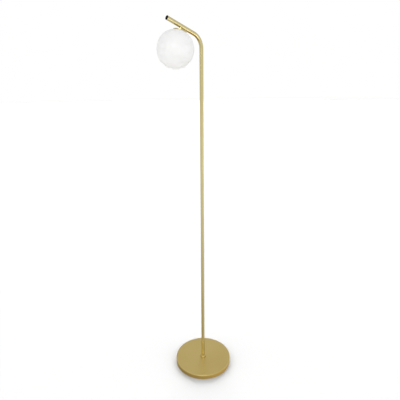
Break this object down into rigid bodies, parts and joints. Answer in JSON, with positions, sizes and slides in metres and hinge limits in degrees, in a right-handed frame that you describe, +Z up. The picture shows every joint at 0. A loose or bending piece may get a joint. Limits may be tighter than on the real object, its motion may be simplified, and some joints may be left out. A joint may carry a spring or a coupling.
{
  "type": "floor lamp",
  "caption": "Floor lamp with a round weighted base, a slim brass-coloured pole bent over into a short rising arm, and an opal glass globe hung under the arm.",
  "frame": {"origin": "on the floor under the middle of the round base, on the pole's axis", "axes": "+Z up along the pole, -X along the arm, +X to the cable inlet at the back of the base"},
  "size_m": [0.3421, 0.28, 1.6243],
  "materials": {
    "satin_brass": "satin, fine lacquered",
    "base_brass": "satin",
    "cast_iron": "as cast, primed",
    "foam_pad": "matte",
    "zinc_steel": "zinc plated",
    "contact_brass": "bare",
    "black_plastic": "matte",
    "white_plastic": "matte",
    "ceramic": "glazed",
    "opal_glass": "satin etched opal",
    "clear_glass": "clear",
    "silicone": "matte",
    "brown_sleeve": "satin",
    "blue_sleeve": "satin",
    "green_sleeve": "satin, green with yellow stripe"
  },
  "bodies": {
    "root": {"lower_tube": "satin_brass", "middle_tube": "satin_brass", "upper_bent_tube": "satin_brass", "stem_spacer": "satin_brass", "globe_cap": "satin_brass", "foot_collar": "satin_brass", "base_cover": "base_brass", "base_weight": "cast_iron", "floor_pad": "foam_pad", "base_stud": "zinc_steel", "base_washer": "zinc_steel", "base_nut": "zinc_steel", "wiring_cover": "zinc_steel", "wiring_cover_screws": "zinc_steel", "earth_screw": "zinc_steel", "pole_foot_insert": "zinc_steel", "lower_tube_insert": "zinc_steel", "middle_tube_lower_insert": "zinc_steel", "middle_tube_upper_insert": "zinc_steel", "upper_tube_insert": "zinc_steel", "lower_joint_stud": "zinc_steel", "upper_joint_stud": "zinc_steel", "arm_cross_nut": "zinc_steel", "head_nipple": "zinc_steel", "head_nut": "zinc_steel", "globe_spring": "zinc_steel", "lampholder_plate": "zinc_steel", "lampholder_screws": "zinc_steel", "bulb_pins": "zinc_steel", "terminal_screws": "zinc_steel", "terminal_clamps": "contact_brass", "lampholder_contacts": "contact_brass", "earth_tag": "contact_brass", "arm_end_plug": "black_plastic", "cable_inlet_bush": "black_plastic", "terminal_block": "white_plastic", "lampholder_body": "ceramic", "bulb_base": "ceramic", "globe": "opal_glass", "bulb_envelope": "clear_glass", "globe_gasket": "silicone", "live_lead": "brown_sleeve", "neutral_lead": "blue_sleeve", "earth_lead": "green_sleeve"}
  },
  "joints": []
}
